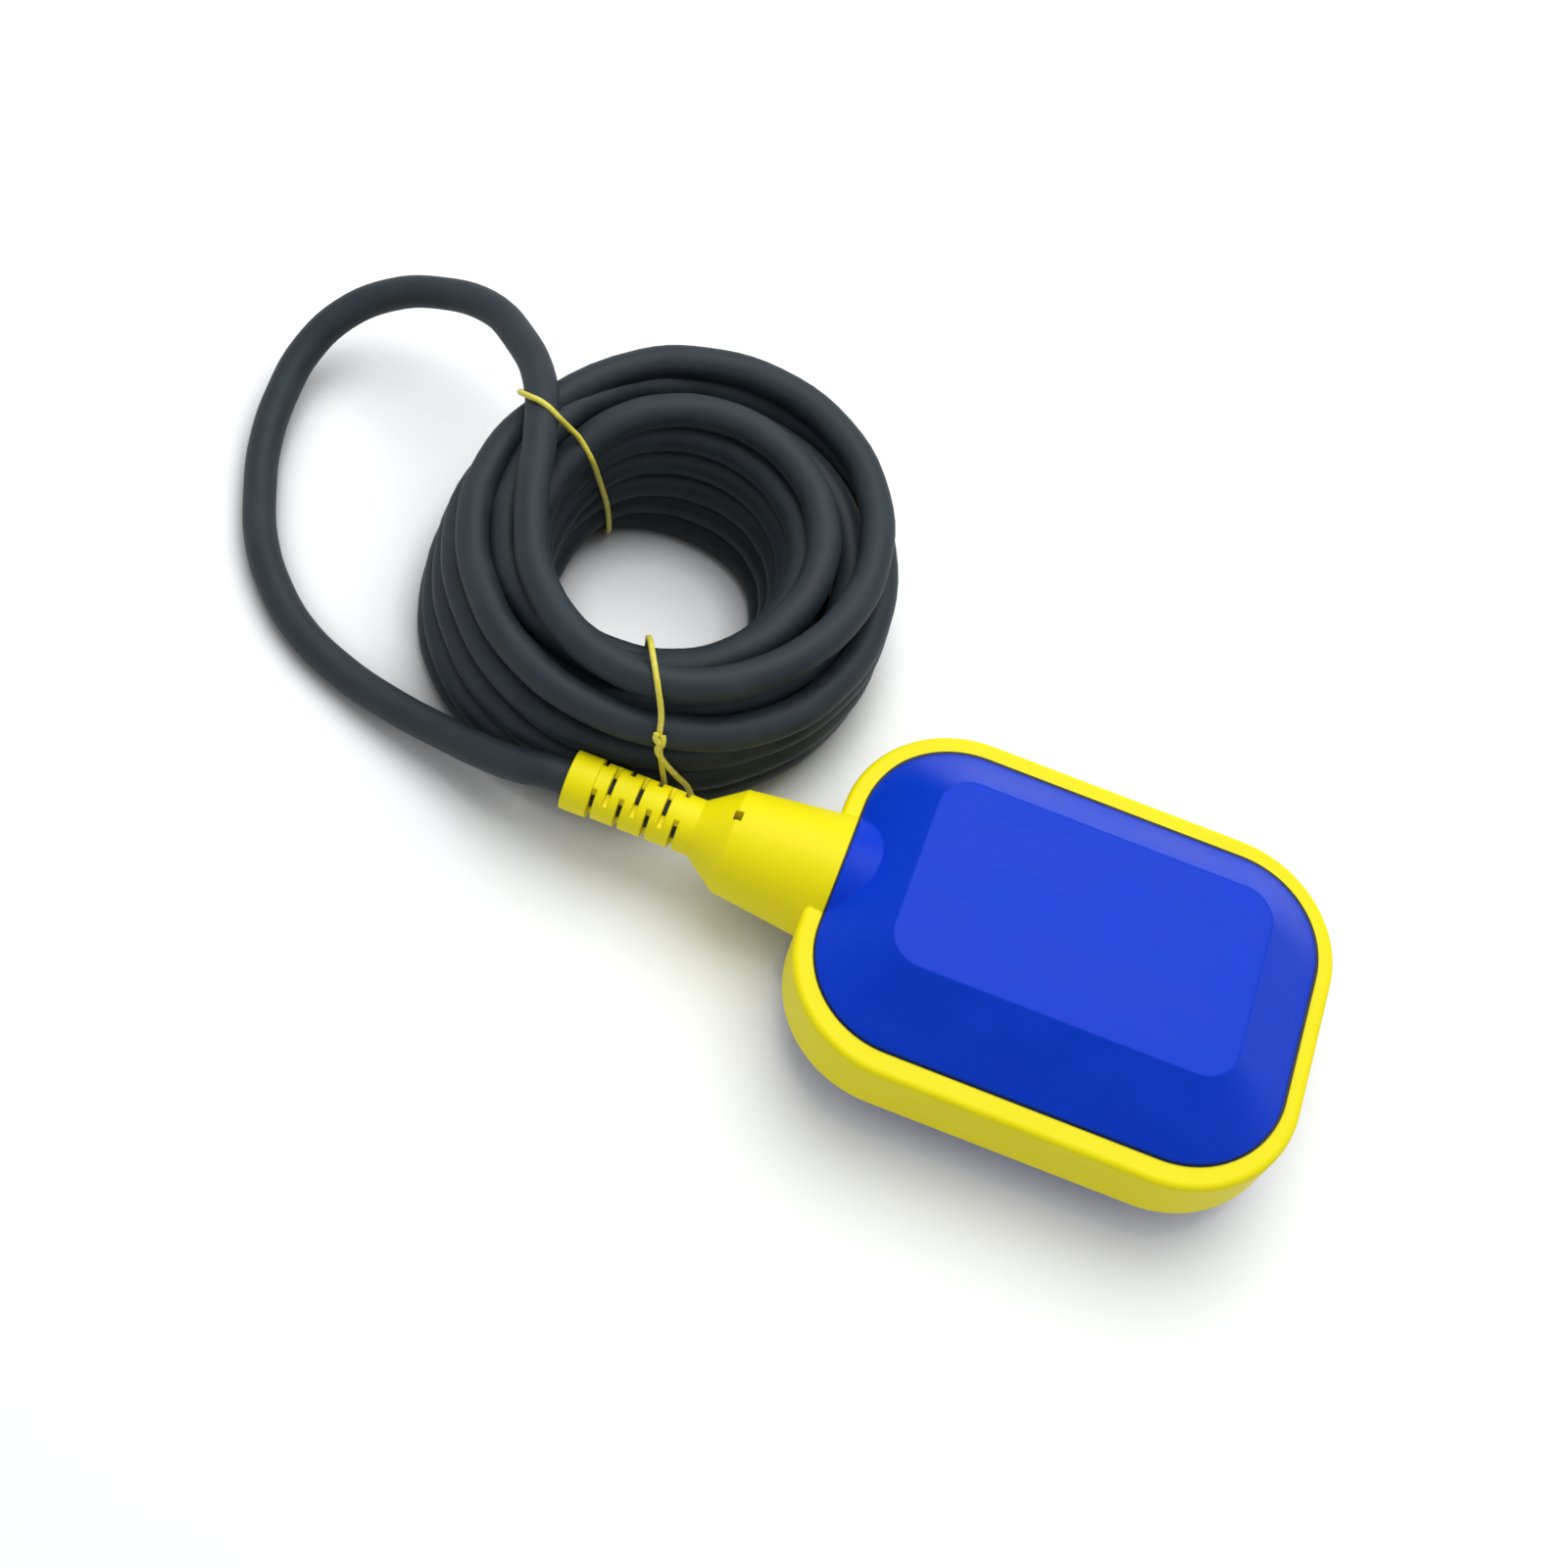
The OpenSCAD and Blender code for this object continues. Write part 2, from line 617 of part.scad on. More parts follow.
module terminal_open() {
    terminal(1);
}

module terminal_closed() {
    terminal(2);
}

module switch_screw(side) {
    color("silver") in_float()
        translate([case_x + case_l / 2 + side * switch_screw_span / 2, case_y + 3, case_z + case_t])
            pan_screw(switch_screw_d, switch_screw_d * 1.9, 1.6, case_t + 1);
}

module switch_screw_near() {
    switch_screw(-1);
}

module switch_screw_far() {
    switch_screw(1);
}

// The free cable: a loop over the floor, a coil, and a short tail with three stripped cores
module cable_lead() {
    color("#1c1c1e") swept_tube(lead_route, cable_r, 12);
}

module cable_coil() {
    color("#1c1c1e") translate([coil_at[0], coil_at[1], 0]) difference() {
        rotate_extrude() translate([(coil_in_r + coil_out_r) / 2, coil_h / 2])
            section(coil_out_r - coil_in_r, coil_h, cable_r);
        for (a = [tie_back_deg, tie_front_deg]) rotate([0, 0, a]) translate([0, -tie_d / 2 - 0.05, -1])
            cube([coil_out_r + 1, tie_d + 0.1, tie_d + 1.05]);
    }
}

module cable_tail() {
    color("#1c1c1e") swept_tube(tail_route, cable_r, 12);
}

module end_core(i, shade) {
    tip = tail_route[len(tail_route) - 1];
    a = [90, 210, 330][i];
    y = 1.6 * cos(a);
    z = 1.6 * sin(a);
    spread = 1.5 * y;
    color(shade) swept_tube([tip + [0, y, z], tip + [-strip_l * 0.08, y, z], tip + [-strip_l * 0.3, y * 1.4, z],
        tip + [-strip_l * 0.65, y + spread, z * 0.8], tip + [-strip_l, y + 2 * spread, z * 0.6]], core_d / 2, 8);
}

module end_core_brown() {
    end_core(0, "saddlebrown");
}

module end_core_blue() {
    end_core(1, "blue");
}

module end_core_black() {
    end_core(2, "black");
}

// The coil's section, a block with round corners
module section(l, w, r) {
    square([l - 2 * r, w], center = true);
    square([l, w - 2 * r], center = true);
    for (x = [-1, 1], y = [-1, 1]) translate([x * (l / 2 - r), y * (w / 2 - r)]) circle(r = r);
}

// A wire tie: a closed loop round the coil's section, in a groove where the coil lies on the floor
module wire_tie(angle) {
    l = coil_out_r - coil_in_r + 0.1;
    t = tie_d;
    color("khaki") translate([coil_at[0], coil_at[1], 0]) rotate([0, 0, angle])
        translate([(coil_in_r + coil_out_r) / 2, 0, 0]) rotate([90, 0, 0]) linear_extrude(t, center = true)
            difference() {
                translate([0, (coil_h + 0.05 + t) / 2]) section(l + 2 * t, coil_h + 0.05 + t, cable_r + t);
                translate([0, (coil_h + 0.05 + t) / 2]) section(l, coil_h + 0.05 - t, 0.3 * t);
            }
}

module wire_tie_back() {
    wire_tie(tie_back_deg);
}

module wire_tie_front() {
    wire_tie(tie_front_deg);
}

frame();
upper_cover();
lower_cover();
upper_seal();
lower_seal();
cable_entry();
cable_grommet();
cable_clamp();
clamp_screw_left();
clamp_screw_right();
capsule_base();
capsule_lid();
capsule_seal();
core_seal();
switch_case();
switch_plunger();
switch_lever();
lever_pin();
steel_ball();
terminal_common();
terminal_open();
terminal_closed();
switch_screw_near();
switch_screw_far();
core_brown();
core_blue();
core_black();
cable_lead();
cable_coil();
cable_tail();
end_core_brown();
end_core_blue();
end_core_black();
wire_tie_back();
wire_tie_front();
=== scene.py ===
"""Looks of a cable float switch: a yellow and blue float with a ribbed boot, and its coiled lead.

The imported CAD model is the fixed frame, and every piece here stands in it, in metres.
"""

import logging
import math
from dataclasses import dataclass
from enum import Enum
from typing import Any, Callable, Mapping, Sequence

import bpy
from mathutils import Matrix, Vector


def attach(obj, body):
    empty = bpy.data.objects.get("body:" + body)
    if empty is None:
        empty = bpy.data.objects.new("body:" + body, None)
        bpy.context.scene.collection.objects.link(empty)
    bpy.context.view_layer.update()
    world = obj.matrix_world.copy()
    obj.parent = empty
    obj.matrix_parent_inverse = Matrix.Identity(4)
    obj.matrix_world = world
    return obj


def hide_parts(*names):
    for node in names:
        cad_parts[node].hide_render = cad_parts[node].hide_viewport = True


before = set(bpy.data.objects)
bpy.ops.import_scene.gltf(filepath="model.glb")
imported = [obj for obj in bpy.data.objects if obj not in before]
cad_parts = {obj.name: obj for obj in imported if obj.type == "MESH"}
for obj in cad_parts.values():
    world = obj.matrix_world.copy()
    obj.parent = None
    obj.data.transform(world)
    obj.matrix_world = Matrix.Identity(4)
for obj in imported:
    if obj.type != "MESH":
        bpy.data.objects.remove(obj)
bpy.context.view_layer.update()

LOG = logging.getLogger("float_switch")
MM = 0.001
Colour = tuple[float, float, float]
Point = tuple[float, float, float]


class Amount:
    """A number socket that takes part in Python expressions, each adding its Math node."""

    def __init__(self, recipe: "Recipe", socket: bpy.types.NodeSocket) -> None:
        """Wraps a socket of the recipe's node tree."""
        self.recipe = recipe
        self.socket = socket

    def _with(self, operation: str, first: Any, second: Any) -> "Amount":
        """Adds one Math node.

        Args:
            operation: The Math node's operation.
            first: A number or an Amount.
            second: A number or an Amount.

        Returns:
            The node's result.
        """
        node = self.recipe.node("ShaderNodeMath", {"operation": operation}, {0: first, 1: second})
        return Amount(self.recipe, node.outputs[0])

    def __add__(self, other: Any) -> "Amount":
        """Adds a number or an Amount."""
        return self._with("ADD", self, other)

    __radd__ = __add__

    def __sub__(self, other: Any) -> "Amount":
        """Takes a number or an Amount away."""
        return self._with("SUBTRACT", self, other)

    def __rsub__(self, other: Any) -> "Amount":
        """Is taken away from a number."""
        return self._with("SUBTRACT", other, self)

    def __mul__(self, other: Any) -> "Amount":
        """Multiplies by a number or an Amount."""
        return self._with("MULTIPLY", self, other)

    __rmul__ = __mul__

    def __or__(self, other: Any) -> "Amount":
        """Takes the larger of two masks."""
        return self._with("MAXIMUM", self, other)


class Recipe:
    """The node tree of one material or of the world."""

    def __init__(self, owner: bpy.types.Material | bpy.types.World) -> None:
        """Empties the owner's tree and adds its output."""
        owner.use_nodes = True
        self.tree = owner.node_tree
        self.tree.nodes.clear()
        kind = "ShaderNodeOutputWorld" if isinstance(owner, bpy.types.World) else "ShaderNodeOutputMaterial"
        self.out = self.tree.nodes.new(kind)

    def node(self, kind: str, settings: Mapping[str, Any], inputs: Mapping[Any, Any]) -> bpy.types.Node:
        """Adds any node.

        Args:
            kind: The node's type.
            settings: Its own settings, such as an operation, set first. "stops" fills a ramp.
            inputs: Values, sockets or Amounts by the socket's name or number.

        Returns:
            The new node.
        """
        made = self.tree.nodes.new(kind)
        for name, value in settings.items():
            if name == "stops":
                ramp = made.color_ramp
                while len(ramp.elements) < len(value):
                    ramp.elements.new(0.5)
                for element, (place, colour) in zip(ramp.elements, value):
                    element.position, element.color = place, (*colour, 1.0)
            else:
                setattr(made, name, value)
        for name, value in inputs.items():
            socket = made.inputs[name]
            if isinstance(value, Amount):
                value = value.socket
            if isinstance(value, bpy.types.NodeSocket):
                self.tree.links.new(value, socket)
            elif isinstance(value, tuple) and len(value) == 3 and socket.type == "RGBA":
                socket.default_value = (*value, 1.0)
            else:
                socket.default_value = value
        return made

    def place(self, stretch: Point = (1.0, 1.0, 1.0)) -> bpy.types.NodeSocket:
        """Gives object coordinates in metres, stretched along each axis."""
        source = self.node("ShaderNodeTexCoord", {}, {}).outputs["Object"]
        return self.node("ShaderNodeMapping", {}, {"Vector": source, "Scale": stretch}).outputs[0]

    def cloud(self, size_mm: float, detail: float = 3.0, stretch: Point = (1.0, 1.0, 1.0)) -> Amount:
        """Gives a soft noise.

        Args:
            size_mm: Size of one patch.
            detail: How much finer noise lies in it.
            stretch: Stretch of the coordinates.

        Returns:
            The noise, around one half.
        """
        inputs = {"Vector": self.place(stretch), "Scale": 1.0 / (size_mm * MM), "Detail": detail}
        return Amount(self, self.node("ShaderNodeTexNoise", {}, inputs).outputs[0])

    def window(self, value: Amount, low: float, high: float) -> Amount:
        """Turns the range low to high of a value into 0 to 1."""
        settings = {"clamp": True}
        inputs = {"Value": value, "From Min": low, "From Max": high}
        return Amount(self, self.node("ShaderNodeMapRange", settings, inputs).outputs[0])

    def blend(self, factor: Any, first: Any, second: Any) -> bpy.types.NodeSocket:
        """Mixes two colours and gives the colour."""
        made = self.node("ShaderNodeMix", {"data_type": "RGBA"}, {0: factor, 6: first, 7: second})
        return made.outputs[2]

    def relief(self, height: Amount, depth_mm: float, under: Any = None) -> bpy.types.NodeSocket:
        """Turns a height into a normal.

        Args:
            height: The height, 0 to 1.
            depth_mm: Depth of the relief.
            under: A normal that the relief lies on.

        Returns:
            The normal.
        """
        inputs = {"Height": height, "Distance": depth_mm * MM, "Strength": 1.0}
        if under is not None:
            inputs["Normal"] = under
        return self.node("ShaderNodeBump", {}, inputs).outputs[0]

    def rounded(self, radius_mm: float) -> bpy.types.NodeSocket:
        """Gives the normal of edges rounded to a small radius."""
        return self.node("ShaderNodeBevel", {"samples": 6}, {"Radius": radius_mm * MM}).outputs[0]

    def seen(self) -> Amount:
        """Gives 1 to rays that show the background: straight to the camera, mirrored or through glass."""
        rays = self.node("ShaderNodeLightPath", {}, {}).outputs
        camera, glossy, through = (Amount(self, rays[f"Is {kind} Ray"]) for kind in ("Camera", "Glossy", "Transmission"))
        return camera | glossy | through

    def shade(self, **inputs: Any) -> None:
        """Adds the surface shader with its inputs, underscores standing for spaces."""
        named = {name.replace("_", " "): value for name, value in inputs.items()}
        self.finish(self.node("ShaderNodeBsdfPrincipled", {}, named).outputs[0])

    def finish(self, shader: bpy.types.NodeSocket) -> None:
        """Joins the last shader to the output."""
        self.tree.links.new(shader, self.out.inputs[0])


@dataclass(frozen=True)
class Finish:
    """What every finish has: its name and the record's slot."""

    name: str
    slot: str
    colour: Colour

    def material(self) -> bpy.types.Material:
        """Builds the finish once and gives its material."""
        known = bpy.data.materials.get(self.name)
        if known is not None:
            return known
        made = bpy.data.materials.new(self.name)
        made.diffuse_color = (*self.colour, 1.0)
        self.cook(Recipe(made))
        return made

    def cook(self, recipe: Recipe) -> None:
        """Fills the node tree; each finish has its own way."""
        raise NotImplementedError


@dataclass(frozen=True)
class MouldedShell(Finish):
    """Satin moulded polypropylene with a fine grain, faint flow marks and rubbed edges."""

    flow_colour: Colour = (0.5, 0.5, 0.5)
    roughness: float = 0.42
    specular: float = 0.4
    edge_mm: float = 0.5
    grain_mm: float = 0.35
    grain_depth_mm: float = 0.004

    def cook(self, recipe: Recipe) -> None:
        """Fills the node tree."""
        flow = recipe.window(recipe.cloud(16.0, 2.0, (1.0, 1.6, 1.0)), 0.35, 0.7)
        scuffs = recipe.window(recipe.cloud(1.6, 4.0, (0.12, 1.0, 1.0)), 0.66, 0.74)
        grain = recipe.cloud(self.grain_mm, 1.0)
        colour = recipe.blend(flow * 0.5 + scuffs * 0.08, self.colour, self.flow_colour)
        normal = recipe.relief(grain + scuffs * 0.6, self.grain_depth_mm, recipe.rounded(self.edge_mm))
        recipe.shade(
            Base_Color=colour,
            Roughness=flow * 0.06 + scuffs * 0.1 + (self.roughness - 0.03),
            Specular_IOR_Level=self.specular,
            Normal=normal,
        )


@dataclass(frozen=True)
class CableJacket(Finish):
    """Smooth rubber cable jacket with soft bloom and a faint extruded waviness."""

    bloom: Colour = (0.034, 0.048, 0.058)
    roughness: float = 0.56

    def cook(self, recipe: Recipe) -> None:
        """Fills the node tree."""
        patches = recipe.window(recipe.cloud(9.0, 4.0), 0.4, 0.75)
        dust = recipe.window(recipe.cloud(0.9, 2.0), 0.7, 0.8)
        waves = recipe.cloud(3.2, 2.0)
        recipe.shade(
            Base_Color=recipe.blend(patches * 0.6 + dust * 0.2, self.colour, self.bloom),
            Roughness=patches * 0.1 + dust * 0.1 + self.roughness,
            Specular_IOR_Level=0.26,
            Normal=recipe.relief(waves + recipe.cloud(0.5, 1.0) * 0.06, 0.05),
        )


@dataclass(frozen=True)
class PlainPlastic(Finish):
    """Moulded plastic or rubber of the small inner pieces, lightly mottled."""

    roughness: float = 0.5
    grain_depth_mm: float = 0.01

    def cook(self, recipe: Recipe) -> None:
        """Fills the node tree."""
        patches = recipe.window(recipe.cloud(4.0, 3.0), 0.35, 0.7)
        paler = tuple(min(1.0, part * 1.15 + 0.006) for part in self.colour)
        recipe.shade(
            Base_Color=recipe.blend(patches, self.colour, paler),
            Roughness=patches * 0.12 + (self.roughness - 0.06),
            Normal=recipe.relief(recipe.cloud(0.3, 1.0), self.grain_depth_mm, recipe.rounded(0.2)),
        )


@dataclass(frozen=True)
class WorkedMetal(Finish):
    """Rolled, plated or polished metal with fine lines along one axis."""

    roughness: float = 0.3
    lines: Point = (0.08, 1.0, 1.0)
    line_depth_mm: float = 0.002

    def cook(self, recipe: Recipe) -> None:
        """Fills the node tree."""
        lines = recipe.cloud(0.25, 2.0, self.lines)
        tarnish = recipe.window(recipe.cloud(2.5, 3.0), 0.45, 0.75)
        duller = tuple(part * 0.72 for part in self.colour)
        recipe.shade(
            Base_Color=recipe.blend(tarnish * 0.5, self.colour, duller),
            Metallic=1.0,
            Roughness=lines * 0.12 + tarnish * 0.08 + (self.roughness - 0.08),
            Normal=recipe.relief(lines, self.line_depth_mm, recipe.rounded(0.1)),
        )


@dataclass(frozen=True)
class CoatedWire(Finish):
    """Plastic coated binding wire, slightly wavy, with rubbed high spots."""

    rubbed: Colour = (0.85, 0.8, 0.2)

    def cook(self, recipe: Recipe) -> None:
        """Fills the node tree."""
        rubbed = recipe.window(recipe.cloud(1.4, 3.0), 0.5, 0.75)
        recipe.shade(
            Base_Color=recipe.blend(rubbed, self.colour, self.rubbed),
            Roughness=rubbed * 0.2 + 0.38,
            Normal=recipe.relief(recipe.cloud(0.9, 2.0), 0.06),
        )


YELLOW_SHELL = MouldedShell(
    "satin_yellow", "yellow_shell", (0.96, 0.86, 0.002), flow_colour=(0.93, 0.81, 0.001), specular=0.2, roughness=0.5
)
BLUE_SHELL = MouldedShell(
    "satin_blue", "blue_shell", (0.001, 0.044, 0.62), flow_colour=(0.002, 0.053, 0.68), specular=0.1, edge_mm=0.7
)
JACKET = CableJacket("matt_jacket", "cable_jacket", (0.015, 0.023, 0.03))
SEAL = PlainPlastic("soft_seal", "seal_rubber", (0.012, 0.012, 0.014), 0.7, 0.02)
GREY_PLASTIC = PlainPlastic("moulded_grey", "grey_plastic", (0.21, 0.21, 0.22))
WHITE_PLASTIC = PlainPlastic("moulded_white", "white_plastic", (0.78, 0.78, 0.75))
SWITCH_PLASTIC = PlainPlastic("moulded_black", "switch_plastic", (0.02, 0.02, 0.022), 0.55)
PLUNGER_PLASTIC = PlainPlastic("moulded_red", "plunger_plastic", (0.55, 0.03, 0.02), 0.35)
BROWN_CORE = PlainPlastic("brown_sleeve", "brown_core", (0.16, 0.05, 0.018), 0.36)
BLUE_CORE = PlainPlastic("blue_sleeve", "blue_core", (0.01, 0.09, 0.5), 0.36)
BLACK_CORE = PlainPlastic("black_sleeve", "black_core", (0.012, 0.012, 0.013), 0.36)
SCREW_STEEL = WorkedMetal("plated_screw", "screw_steel", (0.62, 0.62, 0.64), 0.34, (1.0, 1.0, 0.1))
LEVER_STEEL = WorkedMetal("rolled_spring", "lever_steel", (0.7, 0.7, 0.7), 0.3)
BALL_STEEL = WorkedMetal("polished_ball", "ball_steel", (0.8, 0.8, 0.8), 0.16, (1.0, 1.0, 1.0), 0.0005)
TERMINAL_BRASS = WorkedMetal("stamped_brass", "terminal_brass", (0.8, 0.58, 0.22), 0.3, (1.0, 0.1, 1.0))
COPPER = WorkedMetal("bare_copper", "terminal_brass", (0.86, 0.42, 0.24), 0.3, (0.1, 1.0, 1.0), 0.02)
TIE_WIRE = CoatedWire("coated_wire", "tie_wire", (0.74, 0.66, 0.06))

NODE_FINISH: dict[str, Finish] = {
    "frame": YELLOW_SHELL,
    "upper_cover": BLUE_SHELL,
    "lower_cover": BLUE_SHELL,
    "upper_seal": SEAL,
    "lower_seal": SEAL,
    "cable_entry": JACKET,
    "cable_grommet": SEAL,
    "cable_clamp": GREY_PLASTIC,
    "clamp_screw_left": SCREW_STEEL,
    "clamp_screw_right": SCREW_STEEL,
    "capsule_base": WHITE_PLASTIC,
    "capsule_lid": WHITE_PLASTIC,
    "capsule_seal": SEAL,
    "core_seal": SEAL,
    "switch_case": SWITCH_PLASTIC,
    "switch_plunger": PLUNGER_PLASTIC,
    "switch_lever": LEVER_STEEL,
    "lever_pin": SCREW_STEEL,
    "steel_ball": BALL_STEEL,
    "terminal_common": TERMINAL_BRASS,
    "terminal_open": TERMINAL_BRASS,
    "terminal_closed": TERMINAL_BRASS,
    "switch_screw_near": SCREW_STEEL,
    "switch_screw_far": SCREW_STEEL,
    "core_brown": BROWN_CORE,
    "core_blue": BLUE_CORE,
    "core_black": BLACK_CORE,
    "cable_lead": JACKET,
    "cable_coil": JACKET,
    "cable_tail": JACKET,
    "end_core_brown": BROWN_CORE,
    "end_core_blue": BLUE_CORE,
    "end_core_black": BLACK_CORE,
    "wire_tie_back": TIE_WIRE,
    "wire_tie_front": TIE_WIRE,
}


class Carrier(Enum):
    """The CAD body that a piece rides on."""

    FLOAT = "float"


def tube(name: str, path: Sequence[Vector], radius: Callable[[float], float], sides: int, closed: bool) -> bpy.types.Object:
    """Sweeps a round section along a path, with no twist.

    Args:
        name: Name of the object.
        path: Points of the centreline, in metres.
        radius: Radius in metres by the share of the path, 0 to 1.
        sides: Corners of the section.
        closed: Whether the path closes on itself.

    Returns:
        The new object.
    """
    count = len(path)
    headings = []
    for i in range(count):
        before = path[i - 1] if closed or i else path[0]
        after = path[(i + 1) % count] if closed or i < count - 1 else path[-1]
        headings.append((after - before).normalized())
    side = headings[0].orthogonal().normalized()
    points, faces = [], []
    for i, heading in enumerate(headings):
        if i:
            side = headings[i - 1].rotation_difference(heading) @ side
        side = (side - heading * side.dot(heading)).normalized()
        other = heading.cross(side)
        reach = radius(i / max(1, count - 1))
        for k in range(sides):
            turn = 2 * math.pi * k / sides
            points.append(path[i] + reach * (math.cos(turn) * side + math.sin(turn) * other))
    rings = count if closed else count - 1
    shift = 0
    if closed:
        first = points[0] - path[0]
        end = headings[-1].rotation_difference(headings[0]) @ (points[(count - 1) * sides] - path[-1])
        spread = [first.angle(points[k] - path[0]) for k in range(sides)]
        shift = min(range(sides), key=lambda k: (end - (points[k] - path[0])).length) if spread else 0
    for i in range(rings):
        for k in range(sides):
            a, b = i * sides + k, i * sides + (k + 1) % sides
            if i == count - 1:
                c, d = (k + 1 + shift) % sides, (k + shift) % sides
            else:
                c, d = b + sides, a + sides
            faces.append((a, b, c, d))
    if not closed:
        faces.append(tuple(range(sides - 1, -1, -1)))
        faces.append(tuple((count - 1) * sides + k for k in range(sides)))
    mesh = bpy.data.meshes.new(name)
    mesh.from_pydata(points, [], faces)
    mesh.update()
    mesh.polygons.foreach_set("use_smooth", [len(face) == 4 for face in faces])
    made = bpy.data.objects.new(name, mesh)
    bpy.context.collection.objects.link(made)
    return made


def curve_through(points: Sequence[Vector], steps: int) -> list[Vector]:
    """Draws a smooth line through points.

    Args:
        points: The points it passes.
        steps: Steps from one point to the next.

    Returns:
        The points of the line.
    """
    line = []
    for i in range(len(points) - 1):
        a, b, c, d = points[max(i - 1, 0)], points[i], points[i + 1], points[min(i + 2, len(points) - 1)]
        for k in range(steps):
            t = k / steps
            line.append(
                0.5 * (2 * b + (c - a) * t + (2 * a - 5 * b + 4 * c - d) * t * t + (3 * b - a - 3 * c + d) * t**3)
            )
    line.append(points[-1])
    return line


def settle(piece: bpy.types.Object, finish: Finish, *nodes: str) -> bpy.types.Object:
    """Gives a piece its finish and its body, and lets it stand for CAD nodes.

    Args:
        piece: The piece.
        finish: Its finish.
        nodes: CAD nodes that it replaces.

    Returns:
        The piece.
    """
    piece.data.materials.append(finish.material())
    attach(piece, Carrier.FLOAT.value)
    if nodes:
        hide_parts(*nodes)
    LOG.info("piece %s in %s", piece.name, finish.name)
    return piece


@dataclass
class Viewpoint:
    """The camera at the photograph's viewing angle."""

    place: Point = (-0.02270, -0.21213, 0.40941)
    right: Point = (0.9329, 0.3258, 0.1535)
    up: Point = (-0.3584, 0.7981, 0.4844)
    back: Point = (0.0353, -0.5069, 0.8613)
    lens: float = 50.067

    def set_up(self) -> bpy.types.Object:
        """Makes the camera and gives it to the scene."""
        data = bpy.data.cameras.new("viewpoint")
        data.lens, data.sensor_width, data.clip_start = self.lens, 36.0, 0.01
        made = bpy.data.objects.new("viewpoint", data)
        turn = Matrix((self.right, self.up, self.back)).transposed()
        made.matrix_world = Matrix.Translation(self.place) @ turn.to_4x4()
        bpy.context.collection.objects.link(made)
        bpy.context.scene.camera = made
        return made


@dataclass
class Studio:
    """A plain pale floor with painted shade close under things, a soft sky and one broad softbox from behind and
    above.
    """

    floor_half: float = 4.0
    sky: float = 0.4
    painted_shade_reach: float = 0.013
    box_power: float = 8.4
    box_size: float = 1.0
    box_from: Point = (0.02, 0.36, 0.93)
    middle: Point = (-0.03, 0.02, 0.0)

    def floor(self) -> bpy.types.Object:
        """Lays the floor, white in the camera's eye, keeping the softbox's shadow and darkened with painted shade
        close under things.
        """
        h = self.floor_half
        mesh = bpy.data.meshes.new("studio_floor")
        mesh.from_pydata([(-h, -h, 0), (h, -h, 0), (h, h, 0), (-h, h, 0)], [], [(0, 1, 2, 3)])
        made = bpy.data.objects.new("studio_floor", mesh)
        bpy.context.collection.objects.link(made)
        material = bpy.data.materials.new("studio_paper")
        recipe = Recipe(material)
        plain = recipe.node("ShaderNodeBsdfDiffuse", {}, {"Color": (0.82, 0.82, 0.82)}).outputs[0]
        paper = recipe.node("ShaderNodeBsdfDiffuse", {}, {"Color": (0.95, 0.975, 0.99)}).outputs[0]
        white = recipe.node("ShaderNodeEmission", {}, {"Color": (1.0, 1.0, 1.0), "Strength": 1.0}).outputs[0]
        far = recipe.node("ShaderNodeVectorMath", {"operation": "LENGTH"}, {0: recipe.place()})
        fade = recipe.window(Amount(recipe, far.outputs["Value"]), 0.2, 0.5)
        glow = recipe.node("ShaderNodeEmission", {}, {"Color": (1.0, 1.0, 1.0), "Strength": 0.12}).outputs[0]
        near = recipe.node("ShaderNodeAddShader", {}, {0: paper, 1: glow}).outputs[0]
        # Painted shade: an occlusion mask mixes a dark grey into the floor where things stand close over it.
        reach = recipe.node("ShaderNodeAmbientOcclusion", {"samples": 8}, {"Distance": self.painted_shade_reach})
        free = recipe.window(Amount(recipe, reach.outputs["AO"]), 0.2, 0.85)
        painted_shade = recipe.node("ShaderNodeBsdfDiffuse", {}, {"Color": (0.2, 0.215, 0.235)}).outputs[0]
        near = recipe.node("ShaderNodeMixShader", {}, {0: free, 1: painted_shade, 2: near}).outputs[0]
        lit = recipe.node("ShaderNodeMixShader", {}, {0: fade, 1: near, 2: white}).outputs[0]
        recipe.finish(recipe.node("ShaderNodeMixShader", {}, {0: recipe.seen(), 1: plain, 2: lit}).outputs[0])
        mesh.materials.append(material)
        return made

    def light(self) -> None:
        """Sets the sky and the softbox."""
        world = bpy.data.worlds.new("studio_sky")
        bpy.context.scene.world = world
        recipe = Recipe(world)
        strength = recipe.seen() * (1.0 - self.sky) + self.sky
        sky = recipe.node("ShaderNodeBackground", {}, {"Color": (1.0, 1.0, 1.0), "Strength": strength})
        recipe.finish(sky.outputs[0])
        data = bpy.data.lights.new("softbox", "AREA")
        data.energy, data.size, data.shape = self.box_power, self.box_size, "DISK"
        made = bpy.data.objects.new("softbox", data)
        away = Vector(self.box_from).normalized()
        made.matrix_world = Matrix.Translation(Vector(self.middle) + away) @ away.to_track_quat("Z", "Y").to_matrix().to_4x4()
        bpy.context.collection.objects.link(made)


